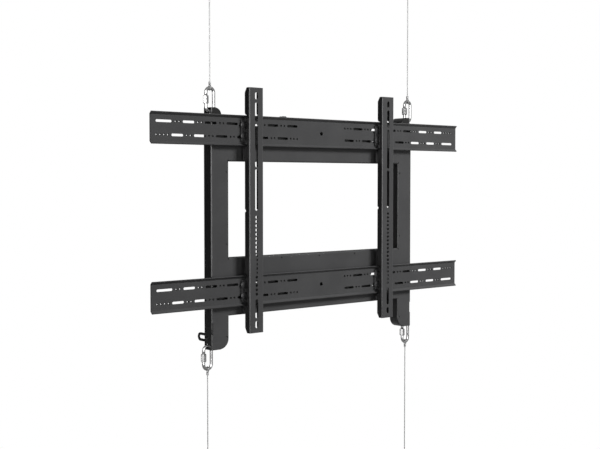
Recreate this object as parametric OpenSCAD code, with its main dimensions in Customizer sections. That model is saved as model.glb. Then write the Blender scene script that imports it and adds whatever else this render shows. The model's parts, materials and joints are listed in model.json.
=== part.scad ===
/* [Rails] */
// Length of each horizontal rail
rail_len = 838; // [820:1:1000]
// Height of the flat web of a rail
rail_web_h = 48.8; // [46:0.2:56]
// Slant length of the flared lip along a rail's edge
lip_len = 6.1; // [4:0.1:8]
// Flare of the lip away from the web, in degrees
lip_angle = 45; // [30:1:60]
// Sheet thickness of the rails
rail_t = 2; // [1.5:0.1:2.5]
// Distance between the centre lines of the two rails
rail_spacing = 314; // [306:1:320]
// Distance between the two rows of slots in a rail
slot_row_spacing = 25.4; // [24:0.2:28]
// Pitch of the slots along a rail
slot_pitch = 50.8; // [48:0.2:50.8]
// Distance of the first upper slot from the middle of the rail
first_slot = 79.3; // [70:0.1:79.6]
// Length of a slot in a rail
slot_len = 27.2; // [20:0.2:28]
// Width of a slot in a rail
slot_w = 4.8; // [4:0.1:6.5]
// Length of the long slot at the end of a row
end_slot_len = 36; // [30:1:37]
// Diameter of the sunk holes between the slots
dot_d = 4.4; // [3:0.1:5]
// Diameter of the hole in the middle of a rail
centre_hole_d = 7.5; // [5:0.1:9]

/* [Uprights] */
// Height of each upright
upright_h = 483; // [478:1:500]
// Width of an upright
upright_w = 35; // [30:0.1:38]
// Width of the return lip along the rear edge of each upright flange
return_w = 5.9; // [4:0.1:8]
// Sheet thickness of the uprights
upright_t = 2; // [1.5:0.1:2.5]
// Front face of an upright in front of the rail web
upright_reach = 14.1; // [12:0.1:18]
// Rear edge of an upright's flanges behind the rail web's front face
flange_past = 1; // [0.5:0.1:3]
// Distance of each upright's centre line from the middle
upright_x = 182.7; // [150:0.1:230]
// Width of the slots and diameter basis of the television slots
tv_slot_w = 6.8; // [5.5:0.1:7.5]
// Diameter of the round holes in an upright
tv_hole_d = 5.8; // [4:0.1:6.4]
// Pitch of the round holes in an upright
tv_hole_pitch = 8.45; // [8:0.05:8.6]
// Centre of the highest round hole below mid-height
tv_hole_first = 12.6; // [11.5:0.1:13]
// Reach of the bent-out lock tab beside an upright
tab_reach = 11; // [10:0.1:14]
// Height of a lock tab
tab_h = 42; // [38:1:46]
// Clearance between a sliding piece and the rail
slide_clear = 0.3; // [0.2:0.05:0.6]
// Diameter of a lock screw's head
lock_head_d = 13.4; // [10:0.1:13.8]
// Height of a lock screw's head
lock_head_h = 2.4; // [1.8:0.1:2.7]
// Diameter of a lock screw's shank
lock_shank_d = 5.8; // [4:0.1:6]
// Distance of a lock screw's axis beside the upright
lock_offset = 5.8; // [4.5:0.1:7]
// Distance between the two screws of a lock
lock_spacing = 21.6; // [18:0.2:24]

/* [Back frame] */
// Overall width of the back frame
frame_w = 554.4; // [540:0.2:580]
// Width of each column of the back frame
column_w = 42.2; // [38:0.2:46]
// Distance from the rail web's front face back to the frame's front face
frame_back = 7; // [5:0.1:9]
// Depth of the folded flanges, front face included
frame_depth = 23.8; // [20:0.2:30]
// Sheet thickness of the back frame
frame_t = 2.5; // [2:0.1:2.7]
// Outside radius of the folds in the back frame
fold_r = 3; // [2.8:0.1:4]
// Height of the frame's top edge above the upper rail's centre line
top_margin = 23; // [21:0.5:29]
// Height of the window's top edge above mid-height
window_top = 97; // [80:0.2:110]
// Depth of the window's bottom edge below mid-height
window_bottom = 91.8; // [80:0.2:110]
// Depth of the lower cross member below the lower rail's centre line
member_margin = 48.3; // [38:0.1:55]
// Depth of the column feet below the lower cross member
foot_h = 64.3; // [60:0.1:94]
// Radius of the inner corner of a column foot
foot_r = 20; // [10:0.5:24]
// Width of the oval access openings behind the rails
access_w = 30; // [20:1:36]
// Height of the oval access openings behind the rails
access_h = 40; // [36:1:46]
// Distance of the access openings from the middle
access_x = 165; // [150:1:172]
// Width across the hanger channel at a column's top
hanger_w = 25.2; // [23:0.1:30]
// Height of the hanger channel's top above the frame's top edge
hanger_rise = 20.5; // [18:0.1:35]
// Depth of the hanger channel's lower end below its top
hanger_h = 88; // [60:1:92]
// Depth of the hanger channel's outer flange
hanger_outer_depth = 24.2; // [22:0.1:30]
// Depth of the hanger channel's inner flange
hanger_inner_depth = 32.8; // [24:0.1:36]
// Radius of the hanger channel's inner top corner
hanger_r = 14; // [8:0.5:15]

/* [Suspension] */
// Diameter of the rod that a quick link is bent from
rod_d = 6.2; // [5:0.1:6.6]
// Overall length of a quick link
link_len = 51.5; // [50:0.1:60]
// Distance between the two strands of a quick link, centre to centre
strand_spacing = 18.2; // [17:0.1:22]
// Length of a quick link's threaded sleeve
sleeve_len = 15.2; // [13:0.1:16]
// Width across the flats of the sleeve
sleeve_flats = 10; // [9:0.1:10.6]
// Gap in the rod under the sleeve
link_gap = 4.4; // [3.5:0.1:5]
// Travel of the sleeve that opens the link
sleeve_travel = 5.9; // [5:0.1:6]
// Diameter of the wire ropes
rope_d = 2; // [1.5:0.1:2.4]
// Distance of an upper link's hole below the hanger's top
upper_hole_inset = 8.4; // [7:0.1:9.5]
// Distance of a lower link's hole above the foot's bottom
lower_hole_inset = 7.5; // [7:0.1:9]
// Upper ropes behind the rail web's front face
upper_rope_y = 16; // [15.8:0.1:18]
// Lower ropes behind the rail web's front face
lower_rope_y = 23; // [16:0.1:25]
// Height of the ceiling above mid-height
ceiling_z = 500; // [490:1:560]
// Depth of the floor below mid-height
floor_z = 590; // [580:1:640]
// Length of a ferrule
ferrule_len = 6; // [5:0.1:9]
// Thickness of the ceiling and floor plates
plate_t = 3; // [2:0.1:5]
// Width of a ceiling or floor plate
plate_w = 26; // [20:1:40]
// Length of a ceiling or floor plate
plate_len = 64; // [56:1:90]
// Distance between the two screw holes of a plate
plate_hole_spacing = 40; // [30:1:42]
// Diameter of the screw holes in a plate
plate_hole_d = 5.5; // [4:0.1:7]
// Diameter of the cable gripper
gripper_d = 12; // [10:0.1:16]
// Length of the cable gripper below the ceiling plate
gripper_len = 20; // [16:0.5:24]

/* [Hidden] */

$fn = 32;

// Amount by which a cutting shape runs past the face that it cuts
over = 1;
black = [0.16, 0.16, 0.17];
steel = [0.78, 0.79, 0.8];
zinc = [0.62, 0.63, 0.64];

// Places that several pieces share
rail_z = rail_spacing / 2;
slot_row = slot_row_spacing / 2;
dot_pitch = slot_pitch / 6;
second_slot = first_slot + slot_pitch / 2;
// Length of rail kept past the last whole slot for the long slot
row_end = 85;
slots_in_row = 1 + floor((rail_len / 2 - first_slot - row_end) / slot_pitch);
end_slot_gap = 24;
last_slot = first_slot + (slots_in_row - 1) * slot_pitch;
end_slot_x = last_slot + slot_len / 2 + end_slot_len / 2 + end_slot_gap;
lip_out = lip_len * sin(lip_angle);
lip_fwd = lip_len * cos(lip_angle);
// Each small hole is sunk to this depth and goes on as a pilot hole
dot_depth = 1.2;
pilot_d = 2.2;
frame_front = frame_back;
frame_rear = frame_front + frame_depth;
column_out = frame_w / 2;
column_in = column_out - column_w;
frame_top = rail_z + top_margin;
member_bottom = rail_z + member_margin;
foot_bottom = member_bottom + foot_h;
sheet_back = frame_front + frame_t;
flange_gap = 1.5;
corner_relief_d = 3;

// Spacers, studs and nuts that carry the rails on the frame
stud_inset = 20;
stud_outer = column_in - stud_inset;
stud_inner = 60;
stud_x = [-stud_outer, -stud_inner, stud_inner, stud_outer];
stud_d = 6;
stud_clear = 0.1;
spacer_d = 14;
nut_flats = 10;
nut_h = 5;
nut_flange_d = 13;
nut_flange_h = 1;
stud_len = sheet_back + nut_h + 3 - rail_t;

// Uprights
upright_front = -upright_reach;
upright_depth = upright_reach + flange_past;
upright_bend = 3;
lip_clear = 0.5;
lip_zone = rail_web_h / 2 + lip_out + rail_t * cos(lip_angle) + lip_clear;
notch_front = -lip_fwd - 2 * lip_clear;
notch_corner_r = 6;
end_chamfer_y = 6;
end_chamfer_z = 10;
mid_notch_r = 3;
tab_front = -slide_clear - upright_t;
lock_x = upright_w / 2 + lock_offset;
// Heights of a lock's two screws from the rail's centre line
lock_shift = 0.5;
lock_z = [lock_shift - lock_spacing / 2, lock_shift + lock_spacing / 2];
// Necks that join a lock tab to the flange: one in the middle and one at each end
mid_neck_h = 5.6;
end_neck_h = 2.4;
lock_hole_d = lock_shank_d + 0.2;
socket_flats = 4;
socket_depth = 1.4;
// Television slots of an upright, as lowest and highest point above mid-height
upright_half = upright_h / 2;
mid_slots = [[85.5, 170.5], [0, 81.8]];
end_slots = [[upright_half - 23.3, upright_half - 9.3], [upright_half - 66.5, upright_half - 29.1]];
tv_slots = concat(mid_slots, end_slots, [for (s = end_slots) [-s[1], -s[0]]]);
tv_holes = 19;

// Hanger channels and their rivets
hanger_top = frame_top + hanger_rise;
hanger_out = column_out - frame_t;
hanger_in = hanger_out - hanger_w;
hanger_front = sheet_back;
hanger_bottom = hanger_top - hanger_h;
rivet_d = 4.8;
rivet_hole_d = 5;
rivet_head_d = 9;
rivet_head_h = 1.6;
rivet_inset_y = 15;
rivet_y = frame_front + rivet_inset_y;
rivet_insets = [14, 48];
rivet_z = [for (i = rivet_insets) frame_top - i];

// Links, sleeves, eyes and ferrules
rod_r = rod_d / 2;
bow_r = strand_spacing / 2;
link_hole_r = rod_r + 0.8;
seat_clear = 0.3;
upper_rope_x = hanger_out - frame_t / 2;
lower_rope_x = column_out - frame_t / 2;
upper_hole_z = hanger_top - upper_hole_inset;
lower_hole_z = lower_hole_inset - foot_bottom;
// A link's rod hangs in its hole, clear of the bearing side
link_drop = rod_d + seat_clear - link_hole_r;
upper_link_mid = upper_hole_z - link_drop + link_len / 2;
lower_link_mid = lower_hole_z + link_drop - link_len / 2;
// Half width of the room that the hanger's round corner leaves for the link
link_room = bow_r + rod_r + 0.5;
sleeve_clear = 0.1;
sleeve_chamfer = 1.2;
rope_r = rope_d / 2;
eye_r = rod_r + rope_r + 0.25;
eye_apex = eye_r + 3;
leg_angle = asin(eye_r / eye_apex);
ferrule_gap = rope_d + 0.2;
ferrule_low = eye_apex - ferrule_gap / 2 / tan(leg_angle);
ferrule_t = rope_d + 1.4;
crown = link_len / 2 - rod_r;
ferrule_end = crown + ferrule_low + ferrule_len;
upper_ferrule_end = upper_link_mid + ferrule_end;
lower_ferrule_end = lower_link_mid - ferrule_end;
upper_gripper_z = ceiling_z - plate_t - gripper_len;
lower_gripper_z = -floor_z + plate_t + gripper_len;
gripper_stud_d = 6;
gripper_nose = 6;
gripper_nose_d = 5;
plate_corner_r = 5;

// Heights above mid-height through which the ropes run, chosen by hand
upper_route = [262, 276, 290, 304, 318, 332, 346, 360, 374, 388, 402, 416, 430, 444, 458, 468];
lower_route = [-334, -350, -366, -382, -398, -414, -430, -446, -462, -478, -494, -510, -526, -542, -552, -560];
rope_sides = 8;

// Tie lug on the left column's flange
lug_t = 2.5;
lug_h = 16.6;
lug_z = 22.6 - foot_bottom;
lug_root_y = 14;
lug_tip_y = 57.4;
lug_slot = [20, 7];
lug_slot_y = 43;
lug_rivet_y = 22.6;
// The lug's bracket is folded into the column's corner
lug_leg_top = 57.6 - foot_bottom;
lug_leg_depth = 18.5;
lug_front_w = 12.7;
mark_d = 3;
// Marks on the column's flange: distance back, and height above the foot's bottom
marks = [[19, 46.6], [24, 36.9]];

// Notch across the outer fold of each column foot
foot_notch = [3.4, 4.6];
foot_notch_z = [30.6 - foot_bottom, 54.1 - foot_bottom];
// Round dimples along the window and the feet
pin_d = 3.6;
pin_depth = 1.2;
pin_inset = 5.6;
pin_x = [-102, 0, 102];
pin_z = [76, -64.6, 23.1 - foot_bottom];

// Spirit level on the frame's top flange
level_size = [14.7, 8, 10.5];
level_x = -88.5;
level_inset_y = 12;
level_y = frame_front + level_inset_y;
level_r = 4;
vial_d = 5.4;
vial_len = 11;

// A shape drawn in X and Z, given thickness from y0 backwards
module slab(y0, t) {
    translate([0, y0 + t, 0]) rotate([90, 0, 0]) linear_extrude(t) children();
}

// A shape drawn in Y and Z, given length along X from x0
module bar(x0, len) {
    translate([x0, 0, 0]) rotate([90, 0, 90]) linear_extrude(len) children();
}

// A cylinder along X and one along Y, each from its start
module rod_x(x0, len, d) {
    translate([x0, 0, 0]) rotate([0, 90, 0]) cylinder(h = len, d = d);
}
module rod_y(y0, len, d) {
    translate([0, y0, 0]) rotate([-90, 0, 0]) cylinder(h = len, d = d);
}

// The same shape on the left and on the right
module both_sides() {
    children();
    mirror([1, 0, 0]) children();
}

// A slot with round ends, its length end to end
module slot2d(len, w) {
    square([len - w, w], center = true);
    for (s = [-1, 1]) translate([s * (len - w) / 2, 0]) circle(d = w);
}

// A rectangle with round corners, centred
module rounded2d(w, h, r) {
    square([w - 2 * r, h], center = true);
    square([w, h - 2 * r], center = true);
    for (i = [-1, 1], j = [-1, 1]) translate([i * (w / 2 - r), j * (h / 2 - r)]) circle(r);
}

// Section of a folded flange: a quarter bend at the front and a wall that runs back
module fold2d(depth, t, r) {
    difference() {
        translate([r, r]) circle(r);
        translate([r, r]) circle(r - t);
        translate([r, -over]) square([r + over, 2 * (r + over)]);
        translate([-over, r]) square([2 * (r + over), r + over]);
    }
    translate([0, r]) square([t, depth - r]);
}

// A straight flange; turn 0 faces -X, -90 faces -Z, 90 faces +Z and 180 faces +X
module flange(x, y, z, turn, len, depth, t, r) {
    translate([x, y, z]) rotate([0, turn, 0]) translate([0, 0, -len / 2])
        linear_extrude(len) fold2d(depth, t, r);
}

// A flange round an outer corner of radius rc, in the +X and -Z quarter
module corner_flange(x, y, z, rc, depth, t, r) {
    translate([x, y, z]) rotate([-90, 0, 0]) rotate_extrude(angle = 90)
        translate([rc, 0]) mirror([1, 0]) fold2d(depth, t, r);
}

// Half of a rail's slots: the left half, which is turned over for the right half
module rail_slots_half() {
    for (i = [0 : slots_in_row - 1]) {
        translate([-(first_slot + i * slot_pitch), slot_row]) slot2d(slot_len, slot_w);
        translate([-(second_slot + i * slot_pitch), -slot_row]) slot2d(slot_len, slot_w);
    }
    translate([-end_slot_x, slot_row]) slot2d(end_slot_len, slot_w);
}

// Half of a rail's small holes, of diameter d
module rail_dots_half(d) {
    for (i = [0 : slots_in_row - 1], s = [-1, 1])
        translate([-(second_slot + i * slot_pitch) + s * dot_pitch / 2, slot_row]) circle(d = d);
    for (i = [1 : slots_in_row - 1], s = [-1, 1])
        translate([-(first_slot + i * slot_pitch) + s * dot_pitch / 2, -slot_row]) circle(d = d);
    for (i = [2.5 : 1 : 4.5]) translate([-(second_slot - i * dot_pitch), -slot_row]) circle(d = d);
    for (i = [2.5 : 1 : 5.5])
        translate([-(second_slot + (slots_in_row - 1) * slot_pitch + i * dot_pitch), -slot_row]) circle(d = d);
}

module rail_section() {
    half = rail_web_h / 2;
    // Corner of the lip's outer side, where it meets the back of the web
    outer = half + rail_t * tan(lip_angle / 2);
    tip_y = -lip_fwd;
    tip_z = half + lip_out;
    out_y = tip_y + rail_t * sin(lip_angle);
    out_z = tip_z + rail_t * cos(lip_angle);
    polygon([[0, half], [tip_y, tip_z], [out_y, out_z], [rail_t, outer],
        [rail_t, -outer], [out_y, -out_z], [tip_y, -tip_z], [0, -half]]);
}

module rail(z) {
    color(black) translate([0, 0, z]) difference() {
        bar(-rail_len / 2, rail_len) rail_section();
        slab(-over, rail_t + 2 * over) {
            for (a = [0, 180]) rotate(a) {
                rail_slots_half();
                rail_dots_half(pilot_d);
            }
            circle(d = centre_hole_d);
        }
        slab(-over, over + dot_depth) for (a = [0, 180]) rotate(a) rail_dots_half(dot_d);
    }
}

module rail_spacers(z) {
    color(black) for (x = stud_x) translate([x, 0, z]) difference() {
        rod_y(rail_t, frame_front - rail_t, spacer_d);
        rod_y(rail_t - over, frame_front - rail_t + 2 * over, stud_d + 2 * stud_clear);
    }
}

module rail_studs(z) {
    color(zinc) for (x = stud_x) translate([x, 0, z]) rod_y(rail_t, stud_len, stud_d);
}

module rail_nuts(z) {
    color(zinc) for (x = stud_x) translate([x, 0, z]) difference() {
        union() {
            translate([0, sheet_back, 0]) rotate([-90, 0, 0])
                cylinder(h = nut_h, d = nut_flats / cos(30), $fn = 6);
            rod_y(sheet_back, nut_flange_h, nut_flange_d);
        }
        rod_y(sheet_back - over, nut_h + 2 * over, stud_d + 2 * stud_clear);
    }
}

// Front sheet of the back frame, set in by the fold radius along each folded edge
module frame_sheet2d() {
    difference() {
        union() {
            both_sides_2d() {
                translate([-(column_out - fold_r), -foot_bottom + foot_r])
                    square([column_w - 2 * fold_r, foot_bottom - foot_r + frame_top]);
                translate([-(column_out - fold_r), -foot_bottom])
                    square([column_w - foot_r - fold_r, foot_r]);
                translate([-(column_in + foot_r), -foot_bottom + foot_r]) circle(foot_r - fold_r);
            }
            translate([-(column_in + fold_r), -(member_bottom - fold_r)])
                square([2 * (column_in + fold_r), member_bottom - window_bottom - 2 * fold_r]);
            translate([-(column_in + fold_r), window_top + fold_r])
                square([2 * (column_in + fold_r), frame_top - window_top - 2 * fold_r]);
        }
        for (i = [-1, 1], z = [-rail_z, rail_z]) translate([i * access_x, z]) rotate(90)
            slot2d(access_h, access_w);
        for (x = stud_x, z = [-rail_z, rail_z]) translate([x, z]) circle(d = stud_d + 0.6);
    }
}

module pins2d() {
    for (x = pin_x) translate([x, -window_bottom - pin_inset]) circle(d = pin_d);
    for (i = [-1, 1], z = pin_z) translate([i * (column_in + pin_inset), z]) circle(d = pin_d);
}

module both_sides_2d() {
    children();
    mirror([1, 0]) children();
}

// Folded flanges on the left half of the back frame
module frame_flanges_left() {
    outer_len = foot_bottom + frame_top;
    flange(-column_out, frame_front, (frame_top - foot_bottom) / 2, 0, outer_len, frame_depth, frame_t, fold_r);
    foot_side = foot_bottom - foot_r - member_bottom + fold_r;
    flange(-column_in, frame_front, -foot_bottom + foot_r + foot_side / 2, 180, foot_side,
        frame_depth, frame_t, fold_r);
    corner_flange(-(column_in + foot_r), frame_front, -foot_bottom + foot_r, foot_r,
        frame_depth, frame_t, fold_r);
    flange(-column_in, frame_front, (window_top - window_bottom) / 2, 180,
        window_top + window_bottom + 2 * fold_r, frame_depth, frame_t, fold_r);
}

module back_frame() {
    span = 2 * (column_in + fold_r);
    top_span = 2 * (hanger_in - flange_gap);
    corner = column_in + corner_relief_d / 2;
    color(black) difference() {
        union() {
            slab(frame_front, frame_t) frame_sheet2d();
            both_sides() frame_flanges_left();
            flange(0, frame_front, -member_bottom, -90, span, frame_depth, frame_t, fold_r);
            flange(0, frame_front, window_top, -90, span, frame_depth, frame_t, fold_r);
            flange(0, frame_front, -window_bottom, 90, span, frame_depth, frame_t, fold_r);
            flange(0, frame_front, frame_top, 90, top_span, frame_depth, frame_t, fold_r);
        }
        slab(frame_front - over, over + pin_depth) pins2d();
        both_sides() {
            for (z = [window_top + corner_relief_d / 2, -window_bottom - corner_relief_d / 2])
                translate([-corner, 0, z]) rod_y(frame_front - over, fold_r + over, corner_relief_d);
            translate([-column_out - over, frame_front - over, foot_notch_z[0]])
                cube([foot_notch[0] + over, foot_notch[1] + over, foot_notch_z[1] - foot_notch_z[0]]);
            translate([0, lower_rope_y, lower_hole_z])
                rod_x(-column_out - over, frame_t + 2 * over, 2 * link_hole_r);
            for (z = rivet_z) translate([0, rivet_y, z])
                rod_x(-column_out - over, frame_t + 2 * over, rivet_hole_d);
        }
        translate([0, lug_rivet_y, lug_z]) rod_x(-column_out - over, frame_t + 2 * over, rivet_hole_d);
        for (m = marks) translate([0, m[0], m[1] - foot_bottom]) rod_x(-column_out - over, frame_t + 2 * over, mark_d);
    }
}

// Outline of an upright's section, or of its hollow when inset, its front face at y = 0
module upright_outline(inset) {
    r = upright_bend - inset;
    half = upright_w / 2 - inset;
    translate([-half, inset + r]) square([2 * half, upright_depth - 2 * inset - r]);
    translate([r - half, inset]) square([2 * (half - r), r + over]);
    for (s = [-1, 1]) translate([s * (half - r), inset + r]) circle(r);
}

// Section of an upright: a channel open to the back between two return lips
module upright_section() {
    mouth = upright_w - 2 * return_w;
    difference() {
        upright_outline(0);
        upright_outline(upright_t);
        translate([-mouth / 2, upright_depth - upright_t - over]) square([mouth, upright_t + 2 * over]);
    }
}

// Cuts in the side flanges of an upright, drawn in Y and Z
module upright_side_cuts2d() {
    rear = flange_past + over;
    for (s = [-1, 1]) {
        // Chamfered rear corner at each end
        translate([0, s * upright_h / 2]) polygon([[flange_past, -s * end_chamfer_z], [rear + over, -s * end_chamfer_z],
            [rear + over, s * over], [flange_past - end_chamfer_y, s * over], [flange_past - end_chamfer_y, 0]]);
        // Room for a rail's web and its two lips
        translate([notch_front, s * rail_z - lip_zone]) square([rear - notch_front, 2 * lip_zone]);
        // Round corners where the flange starts again
        for (k = [-1, 1]) translate([flange_past, s * rail_z + k * lip_zone]) difference() {
            translate([-notch_corner_r, k > 0 ? -over : -notch_corner_r])
                square([notch_corner_r + over, notch_corner_r + over]);
            translate([-notch_corner_r, k * notch_corner_r]) circle(notch_corner_r);
        }
    }
    translate([flange_past, 0]) circle(mid_notch_r);
}

// A tab bent out beside the left flange, flat along the rail's web, with its necks
module lock_tab() {
    slab(tab_front, upright_t) translate([-(upright_w + tab_reach) / 2 + upright_t / 2, 0])
        rounded2d(tab_reach + upright_t, tab_h, 2);
    end_neck = (tab_h - end_neck_h) / 2;
    neck = tab_front + upright_t - notch_front + over;
    for (n = [[0, mid_neck_h], [end_neck, end_neck_h], [-end_neck, end_neck_h]])
        translate([-upright_w / 2, notch_front - over, n[0] - n[1] / 2]) cube([upright_t, neck, n[1]]);
}

module upright(x) {
    color(black) translate([x, 0, 0]) difference() {
        union() {
            difference() {
                translate([0, upright_front, -upright_half]) linear_extrude(upright_h) upright_section();
                bar(-upright_w / 2 - over, upright_w + 2 * over) upright_side_cuts2d();
            }
            for (s = [-1, 1]) translate([0, 0, s * rail_z]) lock_tab();
        }
        slab(upright_front - over, upright_t + 2 * over) {
            for (s = tv_slots) translate([0, (s[0] + s[1]) / 2]) rotate(90) slot2d(s[1] - s[0], tv_slot_w);
            for (i = [0 : tv_holes - 1]) translate([0, -tv_hole_first - i * tv_hole_pitch])
                circle(d = tv_hole_d);
        }
        for (s = [-1, 1], z = lock_z) translate([-lock_x, 0, s * rail_z + z])
            rod_y(tab_front - over, upright_t + 2 * over, lock_hole_d);
    }
}

// Half section of a domed head that stands on y = 0, drawn against the axis
module dome2d(d, h) {
    rim = h * 0.3;
    rise = h - rim;
    dome_r = (d * d / 4 + rise * rise) / (2 * rise);
    square([d / 2, rim]);
    intersection() {
        translate([0, h - dome_r]) circle(dome_r, $fn = 96);
        translate([0, rim]) square([d / 2, rise]);
    }
}

module lock_screws(x) {
    color(black) for (s = [-1, 1], z = lock_z)
        translate([x - lock_x, tab_front, s * rail_z + z]) rotate([90, 0, 0]) difference() {
            union() {
                rotate_extrude() dome2d(lock_head_d, lock_head_h);
                translate([0, 0, -upright_t]) cylinder(h = upright_t, d = lock_shank_d);
            }
            translate([0, 0, lock_head_h - socket_depth])
                cylinder(h = socket_depth + over, d = socket_flats / cos(30), $fn = 6);
        }
}

// Hanger channel nested in the top of the left column
module hanger() {
    color(black) difference() {
        union() {
            slab(hanger_front, frame_t) {
                translate([-hanger_out + fold_r, hanger_bottom])
                    square([hanger_w - 2 * fold_r, hanger_h - hanger_r]);
                translate([-hanger_out + fold_r, hanger_top - hanger_r])
                    square([hanger_w - hanger_r - fold_r, hanger_r]);
                translate([-hanger_in - hanger_r, hanger_top - hanger_r]) circle(hanger_r - fold_r);
            }
            flange(-hanger_out, hanger_front, hanger_top - hanger_h / 2, 0, hanger_h,
                hanger_outer_depth, frame_t, fold_r);
            flange(-hanger_in, hanger_front, hanger_top - (hanger_h + hanger_r) / 2, 180,
                hanger_h - hanger_r, hanger_inner_depth, frame_t, fold_r);
            mirror([0, 0, 1]) corner_flange(-hanger_in - hanger_r, hanger_front,
                -hanger_top + hanger_r, hanger_r, hanger_inner_depth, frame_t, fold_r);
        }
        // The round corner's flange stops beside the link
        translate([-upper_rope_x + frame_t, hanger_front + fold_r, hanger_top - hanger_r])
            cube([link_room - frame_t, hanger_inner_depth, hanger_r + over]);
        translate([0, upper_rope_y, upper_hole_z])
            rod_x(-hanger_out - over, frame_t + 2 * over, 2 * link_hole_r);
        for (z = rivet_z) translate([0, rivet_y, z])
            rod_x(-hanger_out - over, frame_t + 2 * over, rivet_hole_d);
    }
}

// A rivet through the left column's flange and the sheet inside it
module rivet(y, z, inner_t) {
    translate([-column_out, y, z]) rotate([0, 90, 0]) {
        cylinder(h = frame_t + inner_t, d = rivet_d);
        mirror([0, 0, 1]) rotate_extrude() dome2d(rivet_head_d, rivet_head_h);
        translate([0, 0, frame_t + inner_t]) rotate_extrude() dome2d(rivet_head_d, rivet_head_h);
    }
}

module hanger_rivets() {
    color(black) for (z = rivet_z) rivet(rivet_y, z, frame_t);
}

// Bracket folded into the left column's corner, its tongue out behind
module tie_lug() {
    mid = (lug_root_y + lug_tip_y) / 2;
    leg_low = lug_z - lug_h / 2;
    leg_h = lug_leg_top - leg_low;
    color(black) difference() {
        union() {
            bar(-hanger_out, lug_t) translate([mid, lug_z]) slot2d(lug_tip_y - lug_root_y, lug_h);
            flange(-hanger_out, hanger_front, leg_low + leg_h / 2, 0, leg_h, lug_leg_depth, lug_t, fold_r);
            slab(hanger_front, lug_t) translate([fold_r - hanger_out, leg_low])
                square([lug_front_w - fold_r, leg_h]);
        }
        bar(-hanger_out - over, lug_t + 2 * over) translate([lug_slot_y, lug_z])
            slot2d(lug_slot[0], lug_slot[1]);
        translate([0, lug_rivet_y, lug_z]) rod_x(-hanger_out - over, lug_t + 2 * over, rivet_hole_d);
    }
}

module tie_lug_rivet() {
    color(black) rivet(lug_rivet_y, lug_z, lug_t);
}

module level_body() {
    color([0.22, 0.23, 0.24]) difference() {
        slab(level_y - level_size[1] / 2, level_size[1]) translate([level_x, frame_top]) {
            translate([-level_size[0] / 2, 0]) square([level_size[0], level_size[2] - level_r]);
            translate([-level_size[0] / 2 + level_r, 0]) square([level_size[0] - 2 * level_r, level_size[2]]);
            for (s = [-1, 1]) translate([s * (level_size[0] / 2 - level_r), level_size[2] - level_r])
                circle(level_r);
        }
        translate([level_x - vial_len / 2, level_y - vial_d / 2 - 0.1, frame_top + level_size[2] - vial_d])
            cube([vial_len, vial_d + 0.2, vial_d + over]);
    }
}

module level_vial() {
    color([0.55, 0.75, 0.2]) translate([0, level_y, frame_top + level_size[2] - vial_d / 2 - 0.4])
        rod_x(level_x - vial_len / 2 + 0.1, vial_len - 0.2, vial_d - 0.8);
}

// Quick link round the origin: an oval of rod with a gap in the strand on the left
module link_rod() {
    straight = link_len - rod_d - strand_spacing;
    for (s = [0, 1]) mirror([0, 0, s]) translate([0, 0, straight / 2]) rotate([90, 0, 0])
        rotate_extrude(angle = 180) translate([bow_r, 0]) circle(rod_r);
    translate([bow_r, 0, -straight / 2]) cylinder(h = straight, r = rod_r);
    gap_low = sleeve_len / 2 - sleeve_travel;
    translate([-bow_r, 0, -straight / 2]) cylinder(h = straight / 2 + gap_low, r = rod_r);
    translate([-bow_r, 0, gap_low + link_gap]) cylinder(h = straight / 2 - gap_low - link_gap, r = rod_r);
}

module quick_link(x, y, z) {
    color(steel) translate([x, y, z]) link_rod();
}

module sleeve(x, y, z) {
    across = sleeve_flats / cos(30);
    color(steel) translate([x - bow_r, y, z]) difference() {
        intersection() {
            cylinder(h = sleeve_len, d = across, center = true, $fn = 6);
            rotate_extrude() polygon([[0, -sleeve_len / 2], [across / 2 - sleeve_chamfer, -sleeve_len / 2],
                [across / 2, -sleeve_len / 2 + sleeve_chamfer], [across / 2, sleeve_len / 2 - sleeve_chamfer],
                [across / 2 - sleeve_chamfer, sleeve_len / 2], [0, sleeve_len / 2]]);
        }
        cylinder(h = sleeve_len + 2 * over, r = rod_r + sleeve_clear, center = true);
    }
}

// The rope's loop round a link's crown, crown centre at the origin, rope upwards
module eye_loop() {
    sweep = 180 + 2 * leg_angle;
    leg = sqrt(eye_apex * eye_apex - eye_r * eye_r);
    difference() {
        rotate([0, 0, 90]) rotate([90, 0, 0]) union() {
            rotate([0, 0, -180 - leg_angle]) rotate_extrude(angle = sweep, $fn = 48)
                translate([eye_r, 0]) circle(rope_r, $fn = 16);
            for (s = [0, 1]) mirror([s, 0, 0]) rotate([0, 0, leg_angle]) translate([eye_r, 0, 0])
                rotate([-90, 0, 0]) cylinder(h = leg, r = rope_r, $fn = 16);
        }
        translate([0, 0, ferrule_low + 10]) cube([20, 20, 20], center = true);
    }
}

module eye(x, y, z, up) {
    color(steel) translate([x, y, z]) mirror([0, 0, up > 0 ? 0 : 1]) translate([0, 0, crown]) eye_loop();
}

module ferrule(x, y, z, up) {
    color(steel) translate([x, y, z]) mirror([0, 0, up > 0 ? 0 : 1])
        translate([0, 0, crown + ferrule_low]) linear_extrude(ferrule_len)
            rotate(90) slot2d(ferrule_gap + ferrule_t, ferrule_t);
}

// A ring of points round a rope at one height, and the faces of a tube through such rings
function ring(x, y, z) = [for (k = [0 : rope_sides - 1])
    [x + rope_r * cos(k * 360 / rope_sides), y + rope_r * sin(k * 360 / rope_sides), z]];
function wall_faces(n) = [for (i = [0 : n - 2], k = [0 : rope_sides - 1])
    let (a = i * rope_sides + k, b = i * rope_sides + (k + 1) % rope_sides)
    [a, a + rope_sides, b + rope_sides, b]];
function first_cap() = [for (k = [0 : rope_sides - 1]) k];
function last_cap(n) = [for (k = [rope_sides - 1 : -1 : 0]) (n - 1) * rope_sides + k];

// A taut rope along a list of heights that rises
module rope(x, y, heights) {
    n = len(heights);
    points = [for (z = heights) each ring(x, y, z)];
    color(steel) polyhedron(points, concat(wall_faces(n), [first_cap()], [last_cap(n)]));
}

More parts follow.
